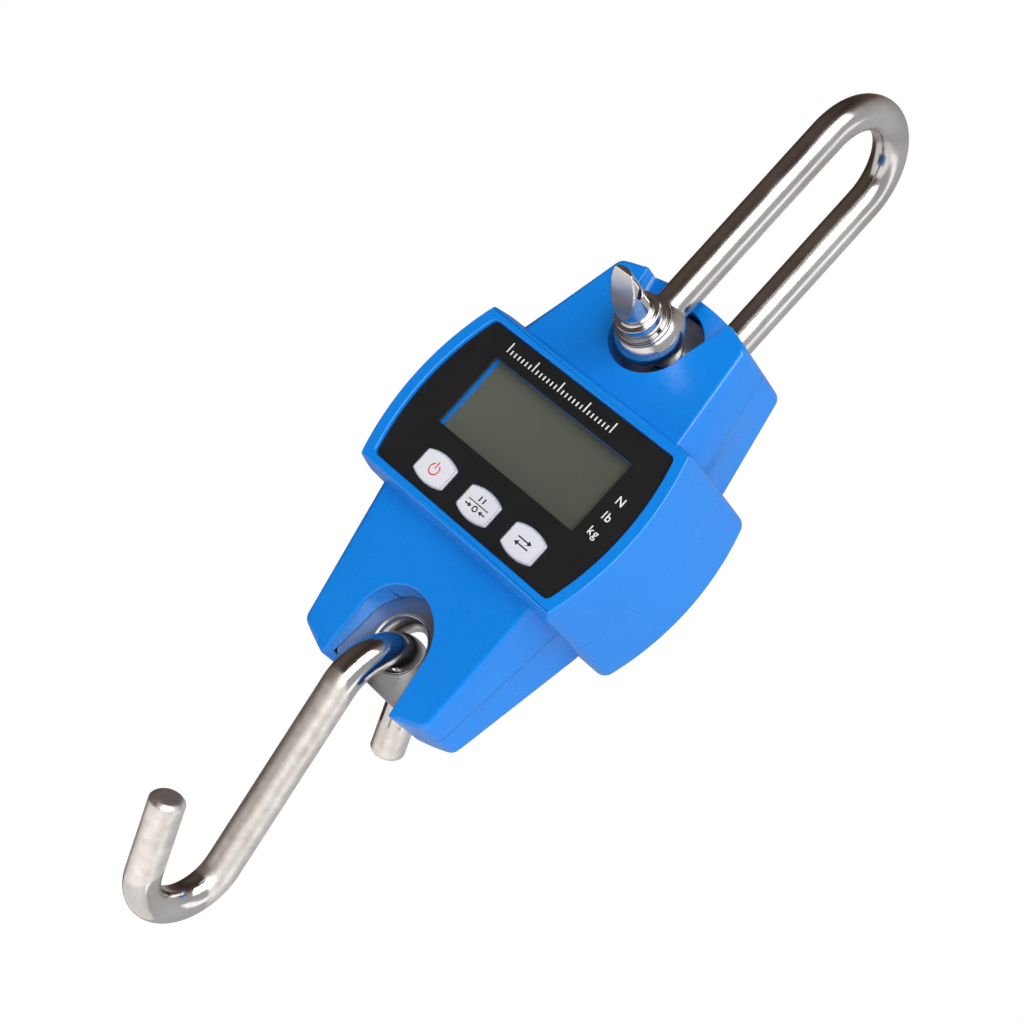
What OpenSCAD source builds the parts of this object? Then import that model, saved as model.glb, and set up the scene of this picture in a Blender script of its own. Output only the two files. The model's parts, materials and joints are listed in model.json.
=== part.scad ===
/* [Load line] */
// Diameter of the round bar of the shackle and the hook
bar_d = 10; // [8:0.5:12]
// Shackle pin axis to the inside of the bow's crown
bow_len = 83; // [60:1:110]
// Distance between the middles of the shackle's legs
leg_gap = 35; // [34:0.5:44]
// Shackle pin axis above the middle of the display box
pin_above = 48; // [46:1:60]
// Hook eye below the middle of the display box
eye_below = 57.9; // [56:1:75]
// Radial play of every turning fit
fit_gap = 0.05; // [0.02:0.01:0.1]

/* [Shackle and pin] */
// Outside diameter of the shackle's ears
ear_d = 20; // [18:0.5:22]
// Length of each ear along the pin
ear_w = 10; // [8:0.5:10]
// Diameter of the pin
pin_d = 10; // [8:0.5:11]
// Diameter of the pin's collar
collar_d = 12.9; // [12:0.1:15]
// Thickness of the pin's collar
collar_t = 3.6; // [3:0.2:5]
// Thickness of each spring ring under the collar
washer_t = 1; // [0.8:0.1:1.5]
// Diameter of the pin's head, beyond the collar
head_d = 9.6; // [8:0.2:11]
// Length of the pin's head
head_len = 16.4; // [14:0.2:20]
// Round part of the head before its slanted flat begins
flat_from = 2.8; // [1:0.2:5]
// Blunt height left at the tip by the slanted flat
tip_blunt = 1.4; // [0.5:0.1:3]
// Angle that the slanted flat has turned to with the pin tight
head_turn = 0; // [-90:5:90]
// Diameter of the lock wire hole through the head
wire_hole_d = 2.8; // [2:0.2:3]

/* [Hook] */
// Radius of both bends, to the middle of the bar
hook_r = 14.3; // [13.5:0.1:18]
// Straight length between the two bends
shank_len = 58.7; // [45:1:75]
// Lean of the shank from the vertical
shank_lean = 16.2; // [0:0.2:20]
// Angle that the upper bend turns through
top_turn = 160; // [150:1:175]
// Angle that the lower bend turns through
low_turn = 161; // [150:1:175]
// Straight stub behind the upper bend
stub_len = 23; // [12:1:26]
// Straight tip of the open hook
tip_len = 24.4; // [10:0.2:26]
// Chamfer on both ends of the hook
end_chamfer = 1.2; // [0.5:0.1:2]
// Play between the hook and the floor of its eye
seat_gap = 0.6; // [0.4:0.1:1]

/* [Display box] */
// Half width of the box at its corners
box_corner_x = 38.8; // [37:0.2:48]
// Half width of the box at its middle
box_mid_x = 44; // [42:0.2:55]
// Half height of the box
box_half_z = 28.3; // [26:0.1:32]
// Half height of the box at its front rim
rim_half_z = 26.9; // [25:0.1:28]
// Front of the rim, ahead of the parting plane
box_front = 23.8; // [22:0.2:28]
// Corner radius of the box
box_r = 3.4; // [2:0.2:6]
// Wall thickness of both shells
wall = 2.4; // [1.6:0.1:3]
// Width of the rim around the face sheet
rim_w = 2.8; // [2:0.1:4]
// Depth of the face sheet below the rim
rim_deep = 1; // [0.5:0.1:2]

/* [Shoulders] */
// Half width of the shoulders where they leave the box
root_half_x = 31; // [29:0.5:33]
// Height of the box edge where that width is measured
root_z = 28.5; // [27:0.5:32]
// Half width of the upper shoulder at its end
top_half_x = 25; // [24:0.5:28]
// Height of the upper shoulder's corners
top_end = 59.5; // [58:0.5:75]
// Rise of the upper end at its middle
top_bow = 4.5; // [2:0.5:6]
// Half width of the lower shoulder at its end
low_half_x = 26.5; // [25.5:0.5:30]
// Depth of the lower shoulder's corners
low_end = 70; // [69:0.5:90]
// Drop of the lower end at its middle
low_bow = 5.5; // [2:0.5:7]
// Front of both shoulders where they leave the box
front_root = 18; // [17:0.2:20]
// Back of both shoulders where they leave the box
back_root = 16.6; // [15.6:0.2:19]
// Front of the upper shoulder at its end
top_front = 15.5; // [14:0.2:17]
// Back of the upper shoulder at its end
top_back = 14.4; // [13.6:0.2:16]
// Front and back of the lower shoulder at its end
low_thick = 10; // [9.5:0.1:13]
// Corner radius of the shoulders
shoulder_r = 3; // [1:0.2:4]

/* [Slots] */
// Radius of the round recess around each ear
recess_r = 12.2; // [11.5:0.1:13]
// Flare of the upper slot on each side
slot_flare = 15; // [10:0.5:18]
// Depth of the upper slot's floor from the parting plane
slot_floor = 9.5; // [9:0.1:11]
// Half width of the lower slot around the hook
arch_r = 13.6; // [12.5:0.1:14.5]
// Flare of the lower slot on each side
arch_flare = 4; // [0:0.5:6]

/* [Display and keys] */
// Half width of the window
window_half_x = 27.5; // [22:0.5:29]
// Bottom of the window above the middle of the box
window_low = -6.7; // [-8:0.1:-5]
// Top of the window above the middle of the box
window_top = 16.4; // [12:0.1:18]
// Width of a key
key_w = 12.2; // [10:0.2:14]
// Height of a key at its sides
key_h = 6.6; // [5:0.2:8]
// Bulge of the upper and lower edges of a key
key_bulge = 1.4; // [0.5:0.1:2]
// Distance between neighbouring keys
key_pitch = 18.4; // [16:0.2:20]
// Middle of the keys below the middle of the box
key_below = 17.2; // [16:0.1:18.5]
// Sideways place of the middle key
key_shift = 0.7; // [0:0.1:1]
// Travel of a key
key_travel = 0.6; // [0.4:0.05:0.8]
// Thickness of the face sheet
sheet_t = 0.5; // [0.3:0.1:0.8]

/* [Load cell] */
// Thickness of the load cell plate
cell_t = 11; // [9:0.5:11]
// Half width of the load cell plate
cell_half_x = 16.5; // [15:0.5:16.5]
// Metal below the middle of the hook eye
cell_tail = 13.6; // [13:0.1:16]
// Metal above the shackle pin's axis
cell_head = 11.4; // [10.5:0.1:13]
// Outside diameter of the eye ring
bush_d = 17; // [16:0.2:18]
// Diameter of the eye ring's throat
throat_d = 12.8; // [12.4:0.1:14]

/* [Battery] */
// Diameter of a cell
cell_dia = 10.5; // [10.5:0.1:14.5]
// Length of a cell
cell_len = 44.5; // [44.5:0.5:50]
// Room between the cells and the battery door, which sets how far back the box reaches
cell_room = 0.6; // [0.4:0.1:5]
// Half height of the battery door
door_half_z = 20; // [18:0.5:22]
// Half width of the battery door
door_half_x = 27; // [26:0.5:30]
// Thickness of the battery door
door_t = 1.8; // [1.5:0.1:2.2]

/* [Hidden] */
$fn = 64;
big_fn = 180;
eps = 0.01;
clear = 0.2;

pin_z = -bow_len;
box_z = pin_z - pin_above;
eye_z = box_z - eye_below;
bar_r = bar_d / 2;
pin_r = pin_d / 2;
leg_y = leg_gap / 2;
ear_in = leg_y - ear_w / 2;
ear_out = leg_y + ear_w / 2;
bow_z = -leg_y + bar_r;
washer_r = collar_d / 2 + 0.7;
collar_y = -ear_out - 2 * washer_t;
head_y = collar_y - collar_t;
wire_hole_at = [head_y - 9.5, 2.4];

// The hook's upper bend is centred below the eye, so that its bar lies on the eye ring's floor
throat_r = throat_d / 2;
loop_z = eye_z - throat_r + seat_gap - (hook_r - bar_r);
bend_swell = 0.03;
bend_bite = 0.5;

// Faces across the depth of the box, from the rim inwards
sheet_back = -box_front + rim_deep + sheet_t;
shelf_back = sheet_back + wall - 0.2;
lens_t = 1;
lens_lip = 1.2;
glass_t = 2.8;
glass_edge = 2.5;
glass_back = shelf_back + 0.1 + glass_t;
board_front = glass_back + 3.2;
board_t = 1.6;
board_back = board_front + board_t;
board_half_x = 36;
board_half_z = 23.4;
frame_wall = 1.4;
frame_back = board_front - 0.1;
glass_low = window_low - glass_edge;
glass_top = window_top + glass_edge;
glass_half_x = window_half_x + glass_edge;

key_gap = 0.2;
key_proud = 0.3;
key_lip = 0.7;
key_z = -key_below;
keys_x = [key_shift - key_pitch, key_shift, key_shift + key_pitch];
switch_tip = shelf_back + 0.15 + key_lip + 0.4 + key_travel + 0.05;

post_r = 2.6;
post_x = 32.6;
post_z = [-22.2 + post_r / 2, 22.2 - post_r / 2];
board_screw_r = 1;
buzzer_spot = [24, 4];

boss_r = 3.3;
house_screw_r = 1.5;
head_r = 2.75;
head_t = 2.1;
head_seat = 9.5;
boss_top = [top_half_x - boss_r + 0.4, pin_above - 8];
boss_low = [low_half_x - 2.4 - boss_r, -(eye_below - 8)];
house_spots = [for (s = [-1, 1], p = [boss_top, boss_low]) [s * p[0], p[1]]];
cell_spots = [for (s = [-1, 1]) [s * 9, pin_above - 24]];

gauge_z = -4;
waist_r = 5.5;
waist_gap = 8;

tray_wall = 1.4;
tray_front = cell_t / 2 + 0.9;
tray_back = tray_front + tray_wall;
battery_y = tray_back + 0.3 + cell_dia / 2;
battery_pitch = cell_dia + 0.6;
battery_rows = [-1, 0, 1];
contact_t = 0.5;
spring_len = 3;
tray_half_x = cell_len / 2 + 0.6 + contact_t + spring_len / 2;
tray_half_z = 1.5 * battery_pitch + 0.4;
door_y = battery_y + cell_dia / 2 + cell_room;
box_back = door_y + door_t;
rail = 1.2;

// Outline in X and Z, made solid from one depth to another
module along_y(y0, y1) {
    translate([0, y1, 0]) rotate([90, 0, 0]) linear_extrude(y1 - y0) children();
}

// Outline in Y and Z, made solid from one side to another
module along_x(x0, x1) {
    translate([x0, 0, 0]) rotate([90, 0, 90]) linear_extrude(x1 - x0) children();
}

// Round bar, peg or hole along Y
module rod_y(r, y0, y1, at = [0, 0]) {
    translate([at[0], y1, at[1]]) rotate([90, 0, 0]) cylinder(r = r, h = y1 - y0);
}

module block(x0, x1, y0, y1, z0, z1) {
    translate([x0, y0, z0]) cube([x1 - x0, y1 - y0, z1 - z0]);
}

module round_corners(r) {
    offset(r = r, $fn = 32) offset(delta = -r) children();
}

// Rectangle whose two sides bulge outwards
module barrel(corner_x, mid_x, half_z) {
    r = (pow(mid_x - corner_x, 2) + pow(half_z, 2)) / (2 * (mid_x - corner_x));
    intersection() {
        square([2 * mid_x, 2 * half_z], center = true);
        barrel_side(mid_x, r);
        mirror([1, 0]) barrel_side(mid_x, r);
    }
}

// Everything to the left of the right-hand bulge
module barrel_side(mid_x, r) {
    translate([mid_x - r, 0]) circle(r, $fn = big_fn);
    if (r < 2 * mid_x)
        translate([-2 * mid_x, -r]) square([3 * mid_x - r, 2 * r]);
}

// Shoulder outline, drawn upwards from the middle of the box
module shoulder_face(end_x, end_z, bow) {
    slope = (root_half_x - end_x) / (end_z - root_z);
    base_x = root_half_x + slope * root_z;
    top_x = end_x - slope * bow;
    r = (pow(end_x, 2) + pow(bow, 2)) / (2 * bow);
    intersection() {
        polygon([[-base_x, 0], [base_x, 0], [top_x, end_z + bow], [-top_x, end_z + bow]]);
        translate([0, end_z + bow - r]) circle(r, $fn = big_fn);
    }
}

// Shoulder seen from the side
module shoulder_side(front_end, back_end, end_z) {
    f = (front_root - front_end) / (end_z - root_z);
    b = (back_root - back_end) / (end_z - root_z);
    over = end_z + 20;
    polygon([[-front_root - f * root_z, 0], [back_root + b * root_z, 0],
        [back_root - b * (over - root_z), over], [-front_root + f * (over - root_z), over]]);
}

module shoulder(end_x, end_z, bow, front_end, back_end, inset) {
    intersection() {
        along_y(-box_front, box_back) offset(delta = -inset)
            round_corners(shoulder_r) shoulder_face(end_x, end_z, bow);
        along_x(-box_mid_x, box_mid_x) offset(delta = -inset)
            shoulder_side(front_end, back_end, end_z);
    }
}

module box_form(inset) {
    intersection() {
        along_y(-box_front + inset, box_back - inset) offset(delta = -inset)
            round_corners(box_r) barrel(box_corner_x, box_mid_x, box_half_z);
        along_x(-box_mid_x, box_mid_x) offset(delta = -inset) polygon([
            [-box_front, -rim_half_z], [-front_root, -box_half_z], [box_back, -box_half_z],
            [box_back, box_half_z], [-front_root, box_half_z], [-box_front, rim_half_z]]);
    }
}

module housing(inset) {
    shoulder(top_half_x, top_end, top_bow, top_front, top_back, inset);
    mirror([0, 0, 1])
        shoulder(low_half_x, low_end, low_bow, low_thick, low_thick, inset);
    box_form(inset);
}

module upper_slot(grow) {
    rise = top_end + top_bow + 1 - pin_above;
    spread = rise * tan(slot_flare);
    offset(delta = grow) polygon([[-recess_r, pin_above], [recess_r, pin_above],
        [recess_r + spread, pin_above + rise], [-recess_r - spread, pin_above + rise]]);
}

module lower_slot(grow) {
    drop = low_end + low_bow + 1 - eye_below;
    spread = drop * tan(arch_flare);
    offset(delta = grow) union() {
        translate([0, -eye_below]) circle(arch_r);
        polygon([[-arch_r, -eye_below], [arch_r, -eye_below],
            [arch_r + spread, -eye_below - drop], [-arch_r - spread, -eye_below - drop]]);
    }
}

// Walls that close the housing around the slots; side is -1 in front and 1 behind
module slot_walls(side) {
    reach = cell_t / 2 + clear;
    mirror([0, side < 0 ? 0 : 1, 0]) intersection() {
        union() {
            along_y(-box_front, -slot_floor + 1.6) upper_slot(wall - 0.6);
            rod_y(recess_r + 1.8, -box_front, -reach, [0, pin_above]);
            along_y(-box_front, -reach) lower_slot(wall - 0.6);
        }
        mirror([0, side < 0 ? 0 : 1, 0]) housing(0);
    }
}

module slot_cuts(side) {
    mirror([0, side < 0 ? 0 : 1, 0]) {
        along_y(-box_front - 1, -slot_floor) upper_slot(0);
        rod_y(recess_r, -box_front - 1, 1, [0, pin_above]);
        along_y(-box_front - 1, 1) lower_slot(0);
    }
}

// Half of the housing between two depths
module half_space(y0, y1) {
    block(-60, 60, y0, y1, -110, 100);
}

// Shape of one key, grown for its hole and its flange
module key_face(grow) {
    half = key_w / 2;
    r = (pow(half, 2) + pow(key_bulge, 2)) / (2 * key_bulge);
    rise = key_h / 2 + key_bulge;
    offset(delta = grow) round_corners(0.8) intersection() {
        square([key_w, 2 * rise], center = true);
        translate([0, rise - r]) circle(r, $fn = big_fn);
        translate([0, r - rise]) circle(r, $fn = big_fn);
    }
}

module window_hole(grow) {
    translate([-window_half_x - grow, window_low - grow])
        square([2 * (window_half_x + grow), window_top - window_low + 2 * grow]);
}

module shackle() {
    color("silver") difference() {
        union() {
            translate([0, 0, bow_z]) rotate([0, 90, 0]) rotate([0, 0, 90])
                rotate_extrude(angle = 180) translate([leg_y, 0]) circle(bar_r);
            for (s = [-1, 1]) translate([0, s * leg_y, pin_z]) {
                cylinder(r = bar_r, h = bow_z - pin_z);
                rotate([90, 0, 0]) rotate_extrude() ear_half();
            }
        }
        rod_y(pin_r + fit_gap, -ear_out - 1, ear_out + 1, [0, pin_z]);
        if (bar_d > ear_w) for (s = [0, 1]) mirror([0, s, 0])
            rod_y(washer_r + 1, -ear_out - bar_d, -ear_out, [0, pin_z]);
    }
}

// Half section of an ear: flat faces and a full, rounded rim
module ear_half() {
    intersection() {
        translate([0, -ear_w / 2]) square([ear_d / 2, ear_w]);
        translate([ear_d / 2 - ear_w * 0.62, 0]) circle(ear_w * 0.62, $fn = 48);
        translate([-ear_d, -ear_w]) square([2 * ear_d, 2 * ear_w]);
    }
    translate([0, -ear_w / 2]) square([ear_d / 2 - ear_w * 0.5, ear_w]);
}

module shackle_pin() {
    color("silver") translate([0, 0, pin_z]) {
        rod_y(pin_r, collar_y, ear_out);
        rod_y(collar_d / 2, head_y, collar_y);
        rotate([0, head_turn, 0]) pin_head();
    }
}

// Round head with a slanted flat along its lower side, and a cross hole for a lock wire
module pin_head() {
    r = head_d / 2;
    tip = head_y - head_len;
    difference() {
        rod_y(r, tip, head_y + eps);
        along_x(-head_d, head_d) polygon([[head_y - flat_from, -r], [tip, r - tip_blunt],
            [tip - 1, r - tip_blunt], [tip - 1, -r - 1], [head_y - flat_from, -r - 1]]);
        translate([-head_d, wire_hole_at[0], wire_hole_at[1]]) rotate([0, 90, 0])
            cylinder(d = wire_hole_d, h = 2 * head_d);
    }
}

module ring_under_collar(r, y0, gap) {
    translate([0, 0, pin_z]) difference() {
        rod_y(r, y0, y0 + washer_t - 0.05);
        rod_y(pin_r + 0.1, y0 - 1, y0 + washer_t + 1);
        if (gap > 0)
            block(0, r + 1, y0 - 1, y0 + washer_t + 1, -gap / 2, gap / 2);
    }
}

module spring_washer() {
    color("gray") ring_under_collar(washer_r, collar_y + 0.03, 1.2);
}

module flat_washer() {
    color("silver") ring_under_collar(washer_r + 0.9, collar_y + washer_t + 0.03, 0);
}

module front_shell() {
    color("dodgerblue") translate([0, 0, box_z]) difference() {
        union() {
            difference() {
                intersection() {
                    housing(0);
                    half_space(-box_front - 1, 0);
                }
                intersection() {
                    housing(wall);
                    half_space(shelf_back, 1);
                }
            }
            slot_walls(-1);
            for (p = house_spots) intersection() {
                rod_y(boss_r, -box_front, -clear, p);
                housing(wall / 2);
            }
            for (s = [-1, 1], z = post_z)
                rod_y(post_r, shelf_back - eps, board_front, [s * post_x, z]);
        }
        slot_cuts(-1);
        along_y(-box_front - 1, sheet_back) panel_outline(clear);
        along_y(sheet_back - 1, shelf_back + 1) window_hole(0);
        along_y(sheet_back - eps, sheet_back + lens_t + 0.05) window_hole(lens_lip + 0.1);
        for (x = keys_x) translate([x, 0, key_z])
            along_y(sheet_back - 1, shelf_back + 1) key_face(key_gap);
        for (p = house_spots) rod_y(house_screw_r + fit_gap, -head_seat - 1, 1, p);
        for (s = [-1, 1], z = post_z)
            rod_y(board_screw_r + fit_gap, shelf_back, board_front + 1, [s * post_x, z]);
    }
}

module panel_outline(grow) {
    offset(delta = grow) round_corners(2)
        barrel(box_corner_x - rim_w, box_mid_x - rim_w - 1.2, rim_half_z - rim_w + 0.1);
}

module rear_shell() {
    color("dodgerblue") translate([0, 0, box_z]) difference() {
        union() {
            difference() {
                intersection() {
                    housing(0);
                    half_space(0, box_back + 1);
                }
                intersection() {
                    housing(wall);
                    half_space(-1, box_back);
                }
            }
            slot_walls(1);
            for (p = concat(house_spots, cell_spots)) intersection() {
                rod_y(boss_r, p[1] == cell_spots[0][1] ? cell_t / 2 : clear, box_back, p);
                housing(wall / 2);
            }
            block(-tray_half_x - tray_wall, tray_half_x + tray_wall, tray_front, box_back - eps,
                -tray_half_z - tray_wall, tray_half_z + tray_wall);
        }
        slot_cuts(1);
        for (p = concat(house_spots, cell_spots)) {
            rod_y(house_screw_r + fit_gap, -1, box_back + 1, p);
            rod_y(head_r + 0.3, head_seat, box_back + 1, p);
        }
        block(-tray_half_x, tray_half_x, tray_back, box_back + 1, -tray_half_z, tray_half_z);
        block(-door_half_x, door_half_x, door_y, box_back + 1, -box_half_z - 1, door_half_z);
        for (s = [-1, 1]) block(s > 0 ? door_half_x - eps : -door_half_x - rail,
            s > 0 ? door_half_x + rail : -door_half_x + eps, door_y, door_y + 0.8,
            -box_half_z - 1, door_half_z);
        block(tray_half_x - 6, tray_half_x - 3, tray_front - 1, tray_back + 1, 10, 14);
    }
}

module face_sheet() {
    color("#202226") translate([0, 0, box_z]) difference() {
        along_y(sheet_back - sheet_t, sheet_back) panel_outline(0);
        along_y(sheet_back - 5, sheet_back + 1) window_hole(0);
        for (x = keys_x) translate([x, 0, key_z])
            along_y(sheet_back - 5, sheet_back + 1) key_face(key_gap);
    }
}

module display_window() {
    color("lightcyan", 0.4) translate([0, 0, box_z])
        along_y(sheet_back + 0.03, sheet_back + lens_t) window_hole(lens_lip);
}

module lcd_glass() {
    color("#58605a") translate([0, 0, box_z]) block(-glass_half_x, glass_half_x,
        shelf_back + 0.1, glass_back, glass_low, glass_top);
}

module lcd_frame() {
    f = frame_wall;
    color("white") translate([0, 0, box_z]) difference() {
        block(-glass_half_x - f - 0.1, glass_half_x + f + 0.1, shelf_back + 0.1, frame_back,
            glass_low - f - 0.1, glass_top + f + 0.1);
        block(-glass_half_x - 0.1, glass_half_x + 0.1, shelf_back, glass_back + 0.1,
            glass_low - 0.1, glass_top + 0.1);
        block(-glass_half_x + 2, glass_half_x - 2, glass_back, board_front,
            glass_low + 0.4, glass_top - 0.4);
        for (s = [-1, 1], z = post_z)
            rod_y(post_r + clear, shelf_back, board_front, [s * post_x, z]);
    }
}

module contact_strips() {
    color("pink") translate([0, 0, box_z]) for (z = [glass_low + 0.7, glass_top - 2.3])
        block(-glass_half_x + 4, glass_half_x - 4, glass_back + 0.02, board_front - 0.02,
            z, z + 1.6);
}

module main_board() {
    color("darkgreen") translate([0, 0, box_z]) difference() {
        block(-board_half_x, board_half_x, board_front + 0.02, board_back,
            -board_half_z, board_half_z);
        for (s = [-1, 1], z = post_z)
            rod_y(board_screw_r + 0.2, board_front - 1, board_back + 1, [s * post_x, z]);
    }
}

module processor_blob() {
    color("black") translate([-12, board_back, box_z + 4]) rotate([-90, 0, 0])
        rotate_extrude() polygon([[0, 0], [6, 0], [5.2, 1], [3.4, 1.7], [0, 2]]);
}

module key_switches() {
    color("#303030") translate([0, 0, box_z]) for (x = keys_x) {
        block(x - 3, x + 3, switch_tip + 0.9, board_front, key_z - 3, key_z + 3);
        rod_y(1.7, switch_tip, switch_tip + 1, [x, key_z]);
    }
}

module buzzer() {
    color("black") translate([0, 0, box_z]) difference() {
        rod_y(4.8, board_back, board_back + 3, buzzer_spot);
        rod_y(0.9, board_back + 2, board_back + 4, buzzer_spot);
    }
}

module screw(head_radius, shank_radius, seat_y, tip_y, head, at) {
    difference() {
        union() {
            rod_y(shank_radius, tip_y, seat_y, at);
            rod_y(head_radius, seat_y, seat_y + head, at);
        }
        for (a = [0, 90]) translate([at[0], seat_y + head, at[1]]) rotate([0, a, 0])
            cube([head_radius * 1.2, head, head_radius * 0.26], center = true);
    }
}

module board_screws() {
    color("silver") translate([0, 0, box_z]) for (s = [-1, 1], z = post_z)
        screw(1.9, board_screw_r, board_back + 0.02, shelf_back + 0.6, 1.3, [s * post_x, z]);
}

module key(index) {
    color("whitesmoke") translate([keys_x[index], 0, box_z + key_z]) {
        along_y(sheet_back - sheet_t - key_proud, shelf_back + 0.1) key_face(0);
        along_y(shelf_back + 0.1 - eps, shelf_back + 0.1 + key_lip) key_face(key_lip);
        rod_y(1.6, shelf_back + key_lip, shelf_back + 0.15 + key_lip + 0.4);
    }
}

module power_key() { key(0); }
module hold_key() { key(1); }
module unit_key() { key(2); }

module load_cell() {
    color("darkgray") difference() {
        along_y(-cell_t / 2, cell_t / 2) round_corners(5)
            translate([-cell_half_x, eye_z - cell_tail]) square([2 * cell_half_x,
                pin_z + cell_head - eye_z + cell_tail]);
        rod_y(pin_r + fit_gap, -cell_t, cell_t, [0, pin_z]);
        rod_y(bush_d / 2 + fit_gap, -cell_t, cell_t, [0, eye_z]);
        for (s = [-1, 1]) rod_y(waist_r, -cell_t, cell_t, [0, box_z + gauge_z + s * waist_gap]);
        block(-1.5, 1.5, -cell_t, cell_t, box_z + gauge_z - waist_gap, box_z + gauge_z + waist_gap);
        for (p = cell_spots) rod_y(house_screw_r + fit_gap, -3, cell_t, [p[0], box_z + p[1]]);
    }
}

// Four foil gauges on the edges of the waist
module strain_gauges() {
    color("gold") translate([0, 0, box_z + gauge_z]) for (s = [-1, 1], t = [-1, 1])
        block(s * cell_half_x - (s < 0 ? 0.1 : 0), s * cell_half_x + (s > 0 ? 0.1 : 0),
            -2.5, 2.5, t * waist_gap - 3.5, t * waist_gap + 3.5);
}

module gauge_sealant() {
    color("white") translate([0, 0, box_z + gauge_z]) for (s = [-1, 1]) difference() {
        block(s > 0 ? cell_half_x : -cell_half_x - 1.4, s > 0 ? cell_half_x + 1.4 : -cell_half_x,
            -4, 4, -waist_gap - 5, waist_gap + 5);
        for (t = [-1, 1]) block(s > 0 ? cell_half_x - 1 : -cell_half_x - 0.12,
            s > 0 ? cell_half_x + 0.12 : -cell_half_x + 1, -2.52, 2.52,
            t * waist_gap - 3.52, t * waist_gap + 3.52);
    }
}

// Flat four-core lead from the gauges to the back of the board
module gauge_lead() {
    x = cell_half_x + 1.5;
    color("beige") translate([0, 0, box_z + gauge_z - 2]) linear_extrude(4) polygon([
        [x, -3], [x + 1, -3], [x + 1, -6.2], [x + 4, board_back + 2], [x + 4, board_back + 0.02],
        [x + 3, board_back + 0.02], [x + 3, board_back + 1.8], [x, -6]]);
}

module cell_screws() {
    color("silver") translate([0, 0, box_z]) for (p = cell_spots)
        screw(head_r, house_screw_r, head_seat + 0.02, -2.5, head_t, p);
}

// Ring that the hook turns in, with a throat rounded to the hook's own bend
module eye_ring() {
    half = cell_t / 2 + 0.05;
    throat = hook_r - bar_r;
    color("silver") translate([0, 0, eye_z]) rotate([90, 0, 0]) difference() {
        cylinder(r = bush_d / 2, h = 2 * half, center = true);
        rotate_extrude() difference() {
            translate([0, -half - 1]) square([throat_r + throat, 2 * half + 2]);
            translate([throat_r + throat, 0]) circle(throat, $fn = 96);
        }
    }
}

// Bend about the origin from +Y upwards, then a straight end with a chamfer; the bar swells a
// little where it is bent, and each straight piece reaches into the bend
module hook_end(turn, len) {
    rotate([90, 0, 90]) rotate_extrude(angle = turn, $fn = 96)
        translate([hook_r, 0]) circle(bar_r + bend_swell);
    rotate([turn, 0, 0]) translate([0, hook_r, 0]) rotate_extrude() polygon([[0, -bend_bite],
        [bar_r, -bend_bite], [bar_r, len - end_chamfer], [bar_r - end_chamfer, len], [0, len]]);
}

module s_hook() {
    color("silver") translate([0, 0, loop_z]) rotate([shank_lean, 0, 0]) {
        translate([0, -hook_r, -shank_len - bend_bite])
            cylinder(r = bar_r, h = shank_len + 2 * bend_bite);
        mirror([0, 1, 0]) hook_end(top_turn, stub_len);
        translate([0, -2 * hook_r, -shank_len]) mirror([0, 0, 1]) hook_end(low_turn, tip_len);
    }
}

module batteries() {
    color("darkslategray") translate([0, battery_y, box_z]) for (i = battery_rows) {
        turn = i == 0 ? 180 : 0;
        translate([0, 0, i * battery_pitch]) rotate([0, 90 + turn, 0]) {
            translate([0, 0, -cell_len / 2]) cylinder(d = cell_dia, h = cell_len - 1);
            translate([0, 0, cell_len / 2 - 1 - eps]) cylinder(r = 1.9, h = 1);
        }
    }
}

// End plates with a coil for each cell's flat end
module battery_contacts() {
    face = tray_half_x - contact_t;
    color("lightgray") translate([0, battery_y, box_z]) for (s = [-1, 1], i = battery_rows) {
        coil = (i == 0 ? 1 : -1) == s;
        translate([0, 0, i * battery_pitch]) {
            block(s > 0 ? face : -tray_half_x + 0.02, s > 0 ? tray_half_x - 0.02 : -face,
                -4.4, 4.4, -4.6, 4.6);
            if (coil) translate([s * face, 0, 0]) rotate([0, -90 * s, 0]) difference() {
                cylinder(r1 = 3.6, r2 = 2.6, h = face - cell_len / 2 - 0.05);
                translate([0, 0, -1]) cylinder(r = 1.8, h = spring_len + 3);
            }
            else block(s > 0 ? cell_len / 2 + 0.05 : -face - eps,
                s > 0 ? face + eps : -cell_len / 2 - 0.05, -1.6, 1.6, -1.6, 1.6);
        }
    }
}

// Pair of wires from the battery tray to the board, past the load cell
module battery_lead() {
    x = cell_half_x + 4.6;
    color("crimson") translate([0, 0, box_z + 11]) linear_extrude(1.6) polygon([
        [x, tray_front - 0.02], [x + 1.6, tray_front - 0.02], [x + 1.6, -4],
        [x + 3, board_back + 2], [x + 3, board_back + 0.02], [x + 1.4, board_back + 0.02],
        [x + 1.4, board_back + 1.8], [x, -4]]);
}

module battery_door() {
    play = 0.15;
    color("dodgerblue") translate([0, 0, box_z]) difference() {
        union() {
            block(-door_half_x + play, door_half_x - play, door_y + 0.05, box_back,
                -box_half_z, door_half_z - play);
            for (s = [-1, 1]) block(s > 0 ? door_half_x - play - eps : -door_half_x - rail + play,
                s > 0 ? door_half_x + rail - play : -door_half_x + play + eps,
                door_y + 0.05, door_y + 0.7, -box_half_z, door_half_z - play);
        }
        for (i = [0:4]) block(-8, 8, box_back - 0.6, box_back + 1,
            -door_half_z + 2 * i, -door_half_z + 1 + 2 * i);
    }
}

module housing_screws() {
    color("silver") translate([0, 0, box_z]) for (p = house_spots)
        screw(head_r, house_screw_r, head_seat + 0.02, -head_seat, head_t, p);
}

shackle();
shackle_pin();
spring_washer();
flat_washer();
front_shell();
rear_shell();
face_sheet();
display_window();
lcd_glass();
lcd_frame();
contact_strips();
main_board();
processor_blob();
key_switches();
buzzer();
board_screws();
power_key();
hold_key();
unit_key();
load_cell();
strain_gauges();
gauge_sealant();
gauge_lead();
cell_screws();
eye_ring();
s_hook();
battery_contacts();
batteries();
battery_lead();
battery_door();
housing_screws();
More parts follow.
